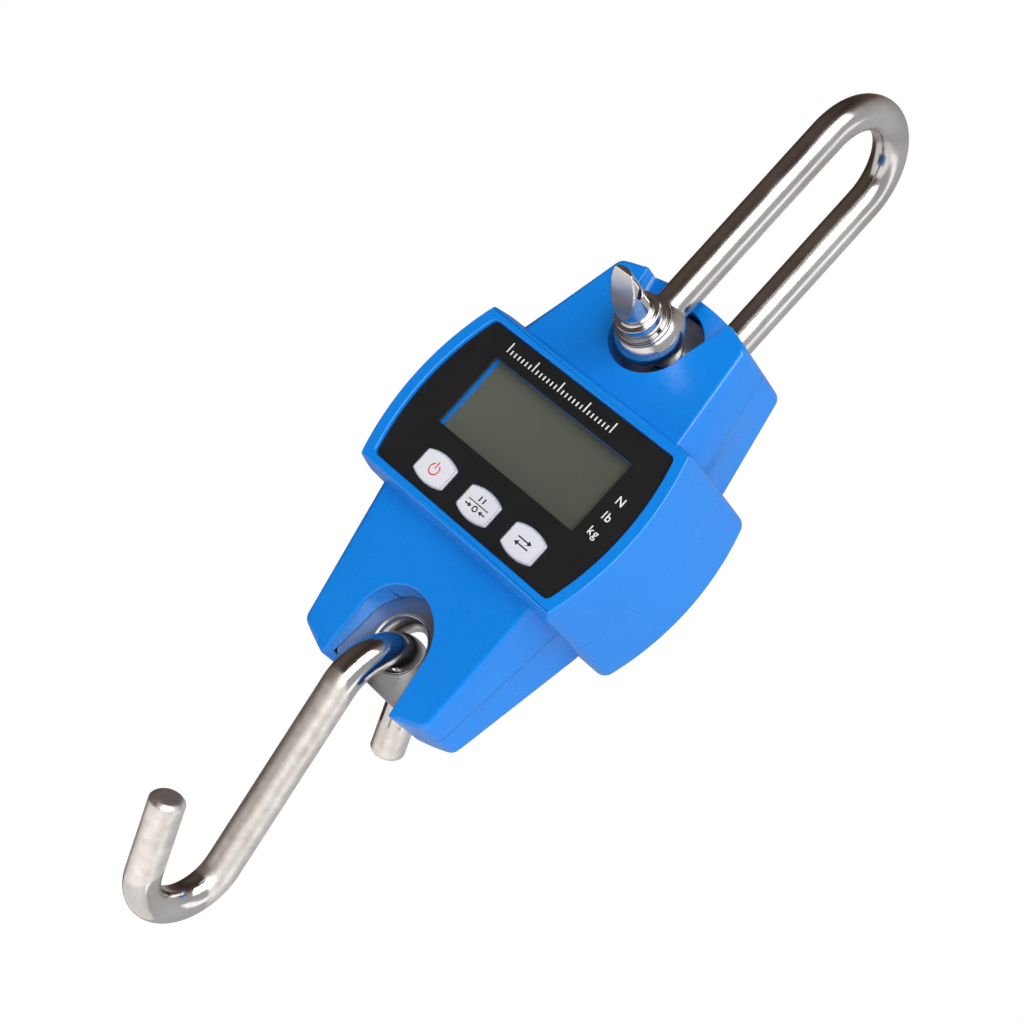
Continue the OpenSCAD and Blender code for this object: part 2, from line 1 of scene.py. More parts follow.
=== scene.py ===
import bpy
import bmesh
import json
import math
from mathutils import Matrix, Vector, noise
from mathutils.bvhtree import BVHTree

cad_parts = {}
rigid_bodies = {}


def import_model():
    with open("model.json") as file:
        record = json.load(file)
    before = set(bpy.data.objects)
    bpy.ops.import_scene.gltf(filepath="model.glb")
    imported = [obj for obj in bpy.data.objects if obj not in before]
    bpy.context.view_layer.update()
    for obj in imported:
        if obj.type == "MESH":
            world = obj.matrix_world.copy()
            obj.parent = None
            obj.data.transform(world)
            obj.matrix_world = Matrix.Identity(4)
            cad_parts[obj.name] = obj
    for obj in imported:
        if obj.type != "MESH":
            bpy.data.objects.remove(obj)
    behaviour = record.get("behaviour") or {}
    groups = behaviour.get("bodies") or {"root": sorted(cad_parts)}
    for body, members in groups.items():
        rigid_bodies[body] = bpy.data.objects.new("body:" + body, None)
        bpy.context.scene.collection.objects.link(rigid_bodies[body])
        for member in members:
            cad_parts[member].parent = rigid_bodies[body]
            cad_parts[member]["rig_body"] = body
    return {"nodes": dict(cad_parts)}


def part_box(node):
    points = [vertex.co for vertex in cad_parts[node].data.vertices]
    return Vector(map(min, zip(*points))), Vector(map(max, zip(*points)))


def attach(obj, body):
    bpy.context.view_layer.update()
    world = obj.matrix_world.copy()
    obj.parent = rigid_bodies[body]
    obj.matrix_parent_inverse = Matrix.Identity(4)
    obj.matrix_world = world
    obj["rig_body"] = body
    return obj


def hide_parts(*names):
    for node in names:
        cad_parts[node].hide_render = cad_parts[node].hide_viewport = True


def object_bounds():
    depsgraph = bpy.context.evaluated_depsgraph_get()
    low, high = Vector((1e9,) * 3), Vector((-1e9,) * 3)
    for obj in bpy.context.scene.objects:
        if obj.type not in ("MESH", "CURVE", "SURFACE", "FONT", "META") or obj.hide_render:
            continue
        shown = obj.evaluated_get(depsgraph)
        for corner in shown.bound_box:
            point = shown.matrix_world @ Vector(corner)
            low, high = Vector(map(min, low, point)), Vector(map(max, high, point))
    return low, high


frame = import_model()
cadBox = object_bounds()
nodes = frame["nodes"]
mm = 0.001
scene = bpy.context.scene
print("frame loaded:", len(nodes), "nodes")

# places that several pieces share, all from the frame
sheetLow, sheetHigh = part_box("face_sheet")
boxZ = (sheetLow.z + sheetHigh.z) / 2
windowLow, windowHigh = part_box("display_window")


# camera and light
cameraSettings = {
    "azimuth": 34.29, "elevation": -3.15, "roll": 42.19,
    "distance": 668.2 * mm, "target": Vector((-5.71, 0, -11.3)) * mm, "lens": 86.8,
}


def makeCamera(s):
    azimuth, elevation, roll = (math.radians(s[k]) for k in ("azimuth", "elevation", "roll"))
    back = Vector((math.sin(azimuth) * math.cos(elevation),
                   -math.cos(azimuth) * math.cos(elevation), math.sin(elevation)))
    level = (-back).cross(Vector((0, 0, 1))).normalized()
    up = level.cross(-back)
    right = level * math.cos(roll) + up * math.sin(roll)
    upward = up * math.cos(roll) - level * math.sin(roll)
    data = bpy.data.cameras.new("camera")
    data.lens, data.sensor_width, data.clip_start, data.clip_end = s["lens"], 36, 0.05, 20
    camera = bpy.data.objects.new("camera", data)
    scene.collection.objects.link(camera)
    turn = Matrix((right, upward, back)).transposed().to_4x4()
    place = Vector((0, 0, boxZ)) + s["target"] + back * s["distance"]
    camera.matrix_world = Matrix.Translation(place) @ turn
    scene.camera = camera
    return camera, right, upward, back


camera, viewRight, viewUp, viewBack = makeCamera(cameraSettings)

lightSettings = {
    "paper": (1.0, 1.0, 1.0),
    # the room seen in reflections, from low on the right to high on the left: (place, colour)
    "room": ((0.00, (0.62, 0.64, 0.67)), (0.30, (0.50, 0.51, 0.53)), (0.50, (0.34, 0.33, 0.32)),
             (0.62, (0.12, 0.075, 0.055)), (0.80, (0.05, 0.032, 0.026)), (1.00, (0.13, 0.10, 0.085))),
    "nearLight": {"toEye": 1.0, "right": 0.05, "up": 0.0, "raise": 0.33, "distance": 1.3,
                  "size": (0.9, 1.6), "power": 24},
    "sideLight": {"toEye": 0.25, "right": 0.7, "up": -0.7, "raise": 0.0, "distance": 1.1,
                  "size": (0.40, 1.6), "power": 2.2},
    "floorDrop": 0.9, "floorHalf": 1.3,
}


def makeWorld(s):
    world = bpy.data.worlds.new("paleRoom")
    scene.world = world
    world.use_nodes = True
    tree = world.node_tree
    tree.nodes.clear()
    output = tree.nodes.new("ShaderNodeOutputWorld")
    mix = tree.nodes.new("ShaderNodeMixShader")
    rays = tree.nodes.new("ShaderNodeLightPath")
    paper = tree.nodes.new("ShaderNodeBackground")
    room = tree.nodes.new("ShaderNodeBackground")
    paper.inputs["Color"].default_value = (*s["paper"], 1)
    place = tree.nodes.new("ShaderNodeTexCoord")
    along = tree.nodes.new("ShaderNodeVectorMath")
    along.operation = "DOT_PRODUCT"
    along.inputs[1].default_value = (viewUp - viewRight).normalized()
    half = tree.nodes.new("ShaderNodeMath")
    half.operation = "MULTIPLY_ADD"
    half.inputs[1].default_value = 0.5
    half.inputs[2].default_value = 0.5
    ramp = tree.nodes.new("ShaderNodeValToRGB")
    elements = ramp.color_ramp.elements
    while len(elements) < len(s["room"]):
        elements.new(0.5)
    for element, (at, color) in zip(elements, s["room"]):
        element.position, element.color = at, (*color, 1)
    for start, end in ((place.outputs["Generated"], along.inputs[0]),
                       (along.outputs["Value"], half.inputs[0]), (half.outputs[0], ramp.inputs[0]),
                       (ramp.outputs[0], room.inputs["Color"]),
                       (rays.outputs["Is Camera Ray"], mix.inputs[0]), (room.outputs[0], mix.inputs[1]),
                       (paper.outputs[0], mix.inputs[2]), (mix.outputs[0], output.inputs[0])):
        tree.links.new(start, end)


def softBox(name, s):
    data = bpy.data.lights.new(name, "AREA")
    data.shape, data.size, data.size_y, data.energy = "RECTANGLE", *s["size"], s["power"]
    light = bpy.data.objects.new(name, data)
    scene.collection.objects.link(light)
    way = viewBack * s["toEye"] + viewRight * s["right"] + viewUp * s["up"] + Vector((0, 0, s["raise"]))
    way.normalize()
    light.location = Vector((0, 0, boxZ)) + way * s["distance"]
    # the long side of the light runs along the object as the camera sees it
    long = (viewRight + viewUp).normalized()
    wide = long.cross(way).normalized()
    light.matrix_world = Matrix.Translation(light.location) @ \
        Matrix((wide, way.cross(wide), way)).transposed().to_4x4()


makeWorld(lightSettings)
softBox("nearLight", lightSettings["nearLight"])
softBox("sideLight", lightSettings["sideLight"])

scene.view_settings.view_transform = "Standard"
scene.view_settings.look = "None"


# materials
class Shader:
    # short hand for a node tree with one principled shader

    def __init__(self, name, **values):
        self.material = bpy.data.materials.new(name)
        self.material.use_nodes = True
        self.tree = self.material.node_tree
        self.main = self.tree.nodes["Principled BSDF"]
        for key, value in values.items():
            self.main.inputs[key.replace("_", " ")].default_value = value

    def add(self, kind, settings=None, **inputs):
        node = self.tree.nodes.new(kind)
        for key, value in (settings or {}).items():
            setattr(node, key, value)
        for key, value in inputs.items():
            self.feed(node, key.replace("_", " "), value)
        return node

    def feed(self, node, key, value):
        socket = node.inputs[key]
        if isinstance(value, bpy.types.NodeSocket):
            self.tree.links.new(value, socket)
        else:
            socket.default_value = value

    def place(self, scale=(1, 1, 1), turn=(0, 0, 0)):
        spot = self.add("ShaderNodeTexCoord")
        mapping = self.add("ShaderNodeMapping", Vector=spot.outputs["Object"])
        mapping.inputs["Scale"].default_value = scale
        mapping.inputs["Rotation"].default_value = turn
        return mapping.outputs[0]

    def noise(self, scale, detail=3, rough=0.55, where=None):
        where = where or self.place()
        made = self.add("ShaderNodeTexNoise", Vector=where, Scale=scale, Detail=detail, Roughness=rough)
        return made.outputs["Fac"]

    def ramp(self, value, stops):
        made = self.add("ShaderNodeValToRGB", Fac=value)
        elements = made.color_ramp.elements
        while len(elements) < len(stops):
            elements.new(0.5)
        for element, (at, color) in zip(elements, stops):
            element.position = at
            element.color = color if len(color) == 4 else (*color, 1)
        return made.outputs["Color"]

    def grey(self, value, low, high, start=0.3, end=0.7):
        made = self.add("ShaderNodeMapRange", Value=value)
        made.inputs["From Min"].default_value = start
        made.inputs["From Max"].default_value = end
        made.inputs["To Min"].default_value = low
        made.inputs["To Max"].default_value = high
        return made.outputs["Result"]

    def bump(self, height, strength, distance, after=None):
        made = self.add("ShaderNodeBump", Height=height, Strength=strength, Distance=distance)
        if after is not None:
            self.tree.links.new(after, made.inputs["Normal"])
        return made.outputs["Normal"]

    def set(self, **sockets):
        for key, value in sockets.items():
            self.feed(self.main, key.replace("_", " "), value)
        return self.material


def moulded(name, dark, light, rough=(0.26, 0.34), grain=900, grainDepth=0.000008, **values):
    s = Shader(name, **values)
    cloud = s.noise(22, 3)
    return s.set(Base_Color=s.ramp(cloud, [(0.3, dark), (0.7, light)]),
                 Roughness=s.grey(s.noise(180, 4), *rough),
                 Normal=s.bump(s.noise(grain, 2), 0.15, grainDepth))


def metal(name, dark, light, rough=(0.12, 0.24), waves=(60, 0.00006), pits=(0.0, 260), streak=None):
    s = Shader(name, Metallic=1.0)
    cloud = s.noise(45, 4)
    fine = s.noise(700, 3)
    height = s.noise(waves[0], 2, 0.4)
    normal = s.bump(height, 0.5, waves[1])
    normal = s.bump(fine, 0.04, 0.00002, normal)
    if streak:
        lines = s.noise(streak[0], 2, 0.6, s.place(streak[1]))
        normal = s.bump(lines, 0.35, 0.00003, normal)
    if pits[0]:
        spots = s.add("ShaderNodeTexVoronoi", Vector=s.place(), Scale=pits[1])
        dents = s.ramp(spots.outputs["Distance"], [(0.05, (0, 0, 0)), (0.25, (1, 1, 1))])
        normal = s.bump(dents, pits[0], 0.00006, normal)
    return s.set(Base_Color=s.ramp(cloud, [(0.3, dark), (0.7, light)]),
                 Roughness=s.grey(s.noise(110, 5), *rough), Normal=normal)


def hookMetal(name):
    # bright where it is bent, tumbled and pitted along the shank and the ends
    s = Shader(name, Metallic=1.0)
    worn = s.add("ShaderNodeAttribute", {"attribute_name": "tumbled"}).outputs["Fac"]
    patch = s.noise(120, 4)
    mask = s.add("ShaderNodeMath", {"operation": "MULTIPLY_ADD"})
    s.feed(mask, 0, patch)
    mask.inputs[1].default_value = 0.55
    s.tree.links.new(worn, mask.inputs[2])
    matt = s.grey(mask.outputs[0], 0, 1, 0.62, 0.95)
    bright = s.ramp(s.noise(50, 4), [(0.3, (0.50, 0.47, 0.45)), (0.7, (0.66, 0.63, 0.60))])
    dull = s.ramp(s.noise(340, 4), [(0.3, (0.60, 0.55, 0.50)), (0.7, (0.78, 0.74, 0.69))])
    color = s.add("ShaderNodeMix", {"data_type": "RGBA"})
    s.tree.links.new(matt, color.inputs[0])
    s.tree.links.new(bright, color.inputs[6])
    s.tree.links.new(dull, color.inputs[7])
    rough = s.add("ShaderNodeMapRange", Value=matt)
    rough.inputs["To Min"].default_value = 0.14
    rough.inputs["To Max"].default_value = 0.44
    spots = s.add("ShaderNodeTexVoronoi", Vector=s.place(), Scale=420.0)
    dents = s.ramp(spots.outputs["Distance"], [(0.08, (0, 0, 0)), (0.30, (1, 1, 1))])
    normal = s.bump(s.noise(60, 2, 0.4), 0.4, 0.00006)
    normal = s.bump(dents, 0.35, 0.00005, normal)
    normal = s.bump(s.noise(900, 3), 0.3, 0.00004, normal)
    return s.set(Base_Color=color.outputs[2], Roughness=rough.outputs["Result"], Normal=normal)


def displayGlass(name):
    s = Shader(name, Roughness=0.35, Specular_IOR_Level=0.35)
    spot = s.place()
    split = s.add("ShaderNodeSeparateXYZ", Vector=spot)
    # painted shading: the glass colour is lighter at the window's left edge and darker towards its right,
    # with a fine grain over it
    paintedFalloffAcross = s.grey(split.outputs["X"], 0, 1, windowLow.x, windowHigh.x)
    grain = s.noise(1500, 2)
    grainAndPaintedFalloff = s.add("ShaderNodeMath", {"operation": "MULTIPLY_ADD"})
    s.feed(grainAndPaintedFalloff, 0, grain)
    grainAndPaintedFalloff.inputs[1].default_value = 0.25
    s.tree.links.new(paintedFalloffAcross, grainAndPaintedFalloff.inputs[2])
    return s.set(Base_Color=s.ramp(grainAndPaintedFalloff.outputs[0], [
        (0.0, (0.124, 0.134, 0.106)), (0.6, (0.106, 0.116, 0.090)), (1.0, (0.094, 0.104, 0.080))]))


def clearWindow(name):
    s = Shader(name, Roughness=0.06, Alpha=0.08, IOR=1.49)
    s.material.surface_render_method = "BLENDED"
    tint = s.ramp(s.noise(40), [(0.3, (0.030, 0.036, 0.034)), (0.7, (0.044, 0.050, 0.047))])
    return s.set(Base_Color=tint,
                 Normal=s.bump(s.noise(120, 2), 0.05, 0.00001))


def board(name):
    s = Shader(name, Roughness=0.35)
    spot = s.place()
    brick = s.add("ShaderNodeTexBrick", Vector=spot, Scale=260.0)
    brick.inputs["Color1"].default_value = (0.02, 0.16, 0.06, 1)
    brick.inputs["Color2"].default_value = (0.03, 0.22, 0.08, 1)
    brick.inputs["Mortar"].default_value = (0.10, 0.30, 0.12, 1)
    return s.set(Base_Color=brick.outputs["Color"], Normal=s.bump(s.noise(600), 0.2, 0.00002))


def wrapped(name):
    # a plain cell: dark wrap with a coppery band at its positive end
    s = Shader(name, Roughness=0.28)
    split = s.add("ShaderNodeSeparateXYZ", Vector=s.place())
    low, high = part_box("batteries")
    along = s.grey(split.outputs["X"], 0, 1, low.x, high.x)
    body = s.ramp(along, [(0.0, (0.02, 0.022, 0.026)), (0.70, (0.03, 0.032, 0.038)),
                          (0.71, (0.55, 0.27, 0.08))])
    return s.set(Base_Color=body, Normal=s.bump(s.noise(400), 0.1, 0.00002))


def printed(name, color):
    s = Shader(name, Roughness=0.5)
    return s.set(Base_Color=s.ramp(s.noise(800, 2), [(0.3, tuple(c * 0.88 for c in color)), (0.7, color)]),
                 Normal=s.bump(s.noise(1800, 2), 0.2, 0.00001))


seamShadeSizes = {"half": 0.13 * mm, "tight": 0.35, "open": 0.88}


def paintSeamShade(made, s):
    # painted shade: a fine dark line where the two shells meet, standing in for the shadow in the gap
    # between them, faint round the display box
    tree = made.node_tree
    main = tree.nodes["Principled BSDF"]
    color = main.inputs["Base Color"].links[0].from_socket
    spot = tree.nodes.new("ShaderNodeTexCoord")
    split = tree.nodes.new("ShaderNodeSeparateXYZ")
    tree.links.new(spot.outputs["Object"], split.inputs[0])

    def math(operation, first, second, third=None):
        node = tree.nodes.new("ShaderNodeMath")
        node.operation = operation
        for socket, value in zip(node.inputs, (first, second, third)):
            if isinstance(value, bpy.types.NodeSocket):
                tree.links.new(value, socket)
            elif value is not None:
                socket.default_value = value
        return node.outputs[0]
    near = math("COMPARE", split.outputs["Y"], 0.0, s["half"])
    onBox = math("COMPARE", split.outputs["Z"], boxZ, 28.35 * mm)
    strength = math("MULTIPLY_ADD", onBox, s["tight"] - s["open"], s["open"])
    mix = tree.nodes.new("ShaderNodeMix")
    mix.data_type = "RGBA"
    tree.links.new(math("MULTIPLY", near, strength), mix.inputs[0])
    tree.links.new(color, mix.inputs[6])
    # the painted shade colour in the gap between the shells, a dark blue
    mix.inputs[7].default_value = (0.0005, 0.012, 0.045, 1)
    tree.links.new(mix.outputs[2], main.inputs["Base Color"])
    return made


finish = {
    "housing": moulded("satinBlue", (0.0014, 0.188, 0.655), (0.0026, 0.205, 0.700), (0.24, 0.32)),
    "sheet": moulded("faceBlack", (0.0075, 0.0082, 0.0095), (0.0105, 0.0115, 0.0130), (0.30, 0.40), 1400),
    "key": moulded("keySilver", (0.60, 0.62, 0.67), (0.70, 0.72, 0.77), (0.24, 0.34), 1100),
    "keyRim": moulded("keyRim", (0.42, 0.44, 0.50), (0.52, 0.54, 0.60), (0.20, 0.28), 1100),
    "bow": metal("polishedBow", (0.46, 0.43, 0.41), (0.66, 0.63, 0.60), (0.16, 0.26), (55, 0.00012)),
    "pin": metal("polishedPin", (0.56, 0.53, 0.51), (0.74, 0.71, 0.69), (0.12, 0.20), (70, 0.00008)),
    "ring": metal("brightRing", (0.42, 0.41, 0.40), (0.60, 0.59, 0.58), (0.16, 0.28), (90, 0.00003)),
    "hook": hookMetal("tumbledHook"),
    "cell": metal("machinedPlate", (0.38, 0.39, 0.41), (0.50, 0.51, 0.53), (0.28, 0.42), (40, 0.00003),
                  (0.10, 500), (260, (1, 1, 14))),
    "screw": metal("zincScrew", (0.45, 0.46, 0.47), (0.62, 0.62, 0.62), (0.25, 0.38)),
    "contact": metal("nickelSpring", (0.55, 0.54, 0.50), (0.72, 0.70, 0.66), (0.12, 0.25)),
    "lcd": displayGlass("greenGreyGlass"),
    "window": clearWindow("clearWindow"),
    "frame": moulded("frameWhite", (0.70, 0.70, 0.68), (0.78, 0.78, 0.76), (0.45, 0.55)),
    "strip": moulded("contactRubber", (0.50, 0.20, 0.20), (0.62, 0.30, 0.28), (0.6, 0.7), 2500),
    "board": board("boardGreen"),
    "black": moulded("partBlack", (0.010, 0.010, 0.010), (0.022, 0.022, 0.022), (0.40, 0.55)),
    "foil": moulded("gaugeFoil", (0.50, 0.30, 0.06), (0.62, 0.40, 0.10), (0.35, 0.45)),
    "sealant": moulded("sealant", (0.72, 0.72, 0.68), (0.82, 0.82, 0.79), (0.30, 0.50), 300, 0.0002),
    "lead": moulded("flatLead", (0.50, 0.44, 0.34), (0.60, 0.54, 0.44), (0.45, 0.6)),
    "wire": moulded("redWire", (0.32, 0.010, 0.010), (0.42, 0.02, 0.018), (0.35, 0.45)),
    "battery": wrapped("cellWrap"),
    "whitePrint": printed("whitePrint", (0.80, 0.80, 0.80)),
    "blackPrint": printed("blackPrint", (0.012, 0.012, 0.014)),
    "redPrint": printed("redPrint", (0.72, 0.02, 0.03)),
}
paintSeamShade(finish["housing"], seamShadeSizes)
print("materials made:", len(finish))


# mesh helpers
def addObject(name, mesh, material=None):
    piece = bpy.data.objects.new(name, mesh)
    scene.collection.objects.link(piece)
    if material:
        mesh.materials.clear()
        mesh.materials.append(material)
    return piece


def smoothAll(mesh):
    mesh.polygons.foreach_set("use_smooth", [True] * len(mesh.polygons))


def mergedCopy(nodeName, flatAngle=0.35):
    # the CAD mesh with its triangles joined and its flat faces made whole
    bm = bmesh.new()
    bm.from_mesh(nodes[nodeName].data)
    bmesh.ops.remove_doubles(bm, verts=bm.verts, dist=2e-6)
    bmesh.ops.dissolve_degenerate(bm, edges=bm.edges, dist=1e-6)
    bmesh.ops.dissolve_limit(bm, angle_limit=math.radians(flatAngle), verts=bm.verts, edges=bm.edges,
                             use_dissolve_boundaries=False)
    return bm


def bevelled(nodeName, pieceName, material, widthAt, sharpFrom=24, segments=3):
    # widthAt gives each sharp edge's fillet in metres, from its middle and its two faces
    bm = mergedCopy(nodeName)
    layer = bm.edges.layers.float.new("bevel_weight_edge")
    bm.normal_update()
    found = []
    for edge in bm.edges:
        if len(edge.link_faces) == 2 and edge.calc_face_angle(0) > math.radians(sharpFrom):
            middle = (edge.verts[0].co + edge.verts[1].co) / 2
            found.append((edge, widthAt(middle, edge)))
    widest = max((w for _, w in found), default=0) or 1e-4
    for edge, width in found:
        edge[layer] = width / widest
        edge.smooth = width > 0
    mesh = bpy.data.meshes.new(pieceName)
    bm.to_mesh(mesh)
    bm.free()
    smoothAll(mesh)
    piece = addObject(pieceName, mesh, material)
    bevel = piece.modifiers.new("fillets", "BEVEL")
    bevel.limit_method, bevel.width, bevel.segments = "WEIGHT", widest, segments
    bevel.offset_type, bevel.profile = "OFFSET", 0.5
    bevel.miter_outer = "MITER_ARC"
    bevel.use_clamp_overlap = False
    evenNormals(piece)
    return piece


def evenNormals(piece):
    # broad faces keep their own normals, fillets turn between them
    weighted = piece.modifiers.new("normals", "WEIGHTED_NORMAL")
    weighted.keep_sharp, weighted.weight = True, 80


def stand(piece, nodeName):
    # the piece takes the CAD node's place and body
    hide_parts(nodeName)
    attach(piece, nodes[nodeName]["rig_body"])
    return piece


def evaluated(piece):
    # the piece with its modifiers made real
    depsgraph = bpy.context.evaluated_depsgraph_get()
    mesh = bpy.data.meshes.new_from_object(piece.evaluated_get(depsgraph))
    piece.modifiers.clear()
    old, piece.data = piece.data, mesh
    bpy.data.meshes.remove(old)
    return piece


def forged(nodeName, pieceName, material, voxel, smoothing, lumps=0.0):
    # a melted copy of the CAD solid, as a forging or a polished bar is
    bm = mergedCopy(nodeName, 0.01)
    mesh = bpy.data.meshes.new(pieceName)
    bm.to_mesh(mesh)
    bm.free()
    piece = addObject(pieceName, mesh)
    remesh = piece.modifiers.new("melt", "REMESH")
    remesh.mode, remesh.voxel_size = "VOXEL", voxel
    relax = piece.modifiers.new("relax", "SMOOTH")
    relax.factor, relax.iterations = 0.5, smoothing
    evaluated(piece)
    if lumps:
        bumps = [(v.co.copy(), v.normal.copy()) for v in piece.data.vertices]
        places = []
        for spot, normal in bumps:
            swell = noise.noise(spot * 90) + 0.5 * noise.noise(spot * 240)
            places.extend(spot + normal * swell * lumps)
        piece.data.vertices.foreach_set("co", places)
        piece.data.update()
    smoothAll(piece.data)
    piece.data.materials.clear()
    piece.data.materials.append(material)
    return piece


def flatPrint(name, outlines, material, front, thickness=0.04 * mm):
    # thin closed print on a face that looks towards -Y; each outline is a list of x and z
    bm = bmesh.new()
    for outline in outlines:
        bm.faces.new([bm.verts.new((x, front, z)) for x, z in outline])
    bm.normal_update()
    for face in list(bm.faces):
        if face.normal.y > 0:
            face.normal_flip()
    raised = bmesh.ops.extrude_face_region(bm, geom=list(bm.faces))
    movedUp = [g for g in raised["geom"] if isinstance(g, bmesh.types.BMVert)]
    bmesh.ops.translate(bm, verts=movedUp, vec=(0, -thickness, 0))
    bmesh.ops.recalc_face_normals(bm, faces=bm.faces)
    mesh = bpy.data.meshes.new(name)
    bm.to_mesh(mesh)
    bm.free()
    return addObject(name, mesh, material)


def ringOutlines(centre, radius, width, start, end, steps):
    # an arc of a ring as small quads; angles in degrees from +X towards +Z
    quads = []
    for i in range(steps):
        a, b = (math.radians(start + (end - start) * (i + k) / steps) for k in (0, 1))
        inner, outer = radius - width / 2, radius + width / 2
        corners = [(inner, a), (outer, a), (outer, b), (inner, b)]
        quads.append([(centre[0] + r * math.cos(t), centre[1] + r * math.sin(t)) for r, t in corners])
    return quads


def barOutline(start, end, width):
    a, b = Vector(start), Vector(end)
    side = (b - a).normalized().orthogonal() * width / 2
    return [tuple(a + side), tuple(b + side), tuple(b - side), tuple(a - side)]


# housing
shellSizes = {
    "shoulder": 1.5 * mm, "boxRim": 0.55 * mm, "rimInside": 0.45 * mm, "boxBack": 1.6 * mm,
    "slot": 0.45 * mm, "parting": 0.28 * mm, "hole": 0.25 * mm,
}


def outsideTest(names):
    bm = bmesh.new()
    for name in names:
        bm.from_mesh(nodes[name].data)
    tree = BVHTree.FromBMesh(bm)
    bm.free()

    def seen(point, edge):
        ways = [f.normal for f in edge.link_faces]
        ways.append((ways[0] + ways[1]).normalized())
        for way in ways:
            if tree.ray_cast(point + way * 0.06 * mm, way, 0.4)[0] is None:
                return True
        return False
    return seen


seenFromOutside = outsideTest(["front_shell", "rear_shell", "face_sheet", "display_window", "load_cell",
                               "battery_door", "batteries", "power_key", "hold_key", "unit_key"])
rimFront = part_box("front_shell")[0].y
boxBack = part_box("rear_shell")[1].y
boxHalfZ = 28.3 * mm
slotHalfX = 17.5 * mm


def shellFillet(point, edge):
    s = shellSizes
    if not seenFromOutside(point, edge):
        return 0.0
    z = point.z - boxZ
    normals = [f.normal for f in edge.link_faces]
    if abs(point.y) < 0.05 * mm:
        return s["parting"]
    if not edge.is_convex:
        return 0.0
    if abs(z) < boxHalfZ + 0.2 * mm:
        if point.y < rimFront + 0.1 * mm:
            onPanel = sheetLow.x - 1.4 * mm < point.x < sheetHigh.x + 1.4 * mm and \
                min(n.dot(Vector((point.x, 0, z))) for n in normals) < -0.3 * Vector((point.x, 0, z)).length
            return s["rimInside"] if onPanel else s["boxRim"]
        if point.y > boxBack - 0.1 * mm:
            return s["boxBack"] if abs(point.x) > 30 * mm or abs(z) > 26 * mm else s["hole"]
        return s["hole"]
    if abs(point.x) < slotHalfX:
        return s["slot"]
    if max(abs(n.y) for n in normals) > 0.8:
        return s["shoulder"]
    return s["slot"]


for shell, pieceName in (("front_shell", "frontShell"), ("rear_shell", "rearShell")):
    stand(bevelled(shell, pieceName, finish["housing"], shellFillet), shell)
stand(bevelled("battery_door", "batteryDoor", finish["housing"], lambda p, e: 0.25 * mm), "battery_door")
print("housing made")

# face, window, keys
stand(bevelled("face_sheet", "faceSheet", finish["sheet"], lambda p, e: 0.12 * mm), "face_sheet")
stand(bevelled("lcd_glass", "displayGlass", finish["lcd"], lambda p, e: 0.3 * mm), "lcd_glass")

keySizes = {"rim": 0.30 * mm, "step": 0.05 * mm, "slope": 0.05 * mm, "edge": 0.18 * mm}


def makeKey(nodeName, pieceName, s):
    # the key's face gets a fine border and a shallow crown
    bm = mergedCopy(nodeName)
    layer = bm.edges.layers.float.new("bevel_weight_edge")
    bm.normal_update()
    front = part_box(nodeName)[0].y
    faces = [f for f in bm.faces
             if f.normal.y < -0.99 and abs(f.calc_center_median().y - front) < 0.05 * mm]
    for edge in {e for f in faces for e in f.edges}:
        edge[layer] = 1.0 if sum(f in faces for f in edge.link_faces) == 1 else 0.0
    bmesh.ops.inset_region(bm, faces=faces, thickness=s["rim"], depth=0)
    bmesh.ops.inset_region(bm, faces=faces, thickness=s["slope"], depth=s["step"])
    mesh = bpy.data.meshes.new(pieceName)
    for f in bm.faces:
        f.material_index = 0 if f in faces else 1
    bm.to_mesh(mesh)
    bm.free()
    smoothAll(mesh)
    piece = addObject(pieceName, mesh)
    mesh.materials.append(finish["key"])
    mesh.materials.append(finish["keyRim"])
    bevel = piece.modifiers.new("edge", "BEVEL")
    bevel.limit_method, bevel.width, bevel.segments = "WEIGHT", s["edge"], 3
    bevel.use_clamp_overlap = False
    evenNormals(piece)
    return stand(piece, nodeName)


keyNames = {"power_key": "powerKey", "hold_key": "holdKey", "unit_key": "unitKey"}
for nodeName, pieceName in keyNames.items():
    makeKey(nodeName, pieceName, keySizes)


def keyMiddle(nodeName):
    low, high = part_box(nodeName)
    return (low.x + high.x) / 2, (low.z + high.z) / 2, low.y - keySizes["step"] + 0.01 * mm


def moved(outlines, x, z):
    return [[(px + x, pz + z) for px, pz in outline] for outline in outlines]


iconSizes = {"line": 0.38 * mm, "power": 1.65 * mm, "arrow": 1.1 * mm}


def arrowOutlines(start, end, line, head):
    a, b = Vector(start), Vector(end)
    way = (b - a).normalized()
    side = way.orthogonal()
    neck = b - way * head
    wing = side * head * 0.6
    return [barOutline(a, neck, line), [tuple(neck + wing), tuple(b), tuple(neck - wing)]]


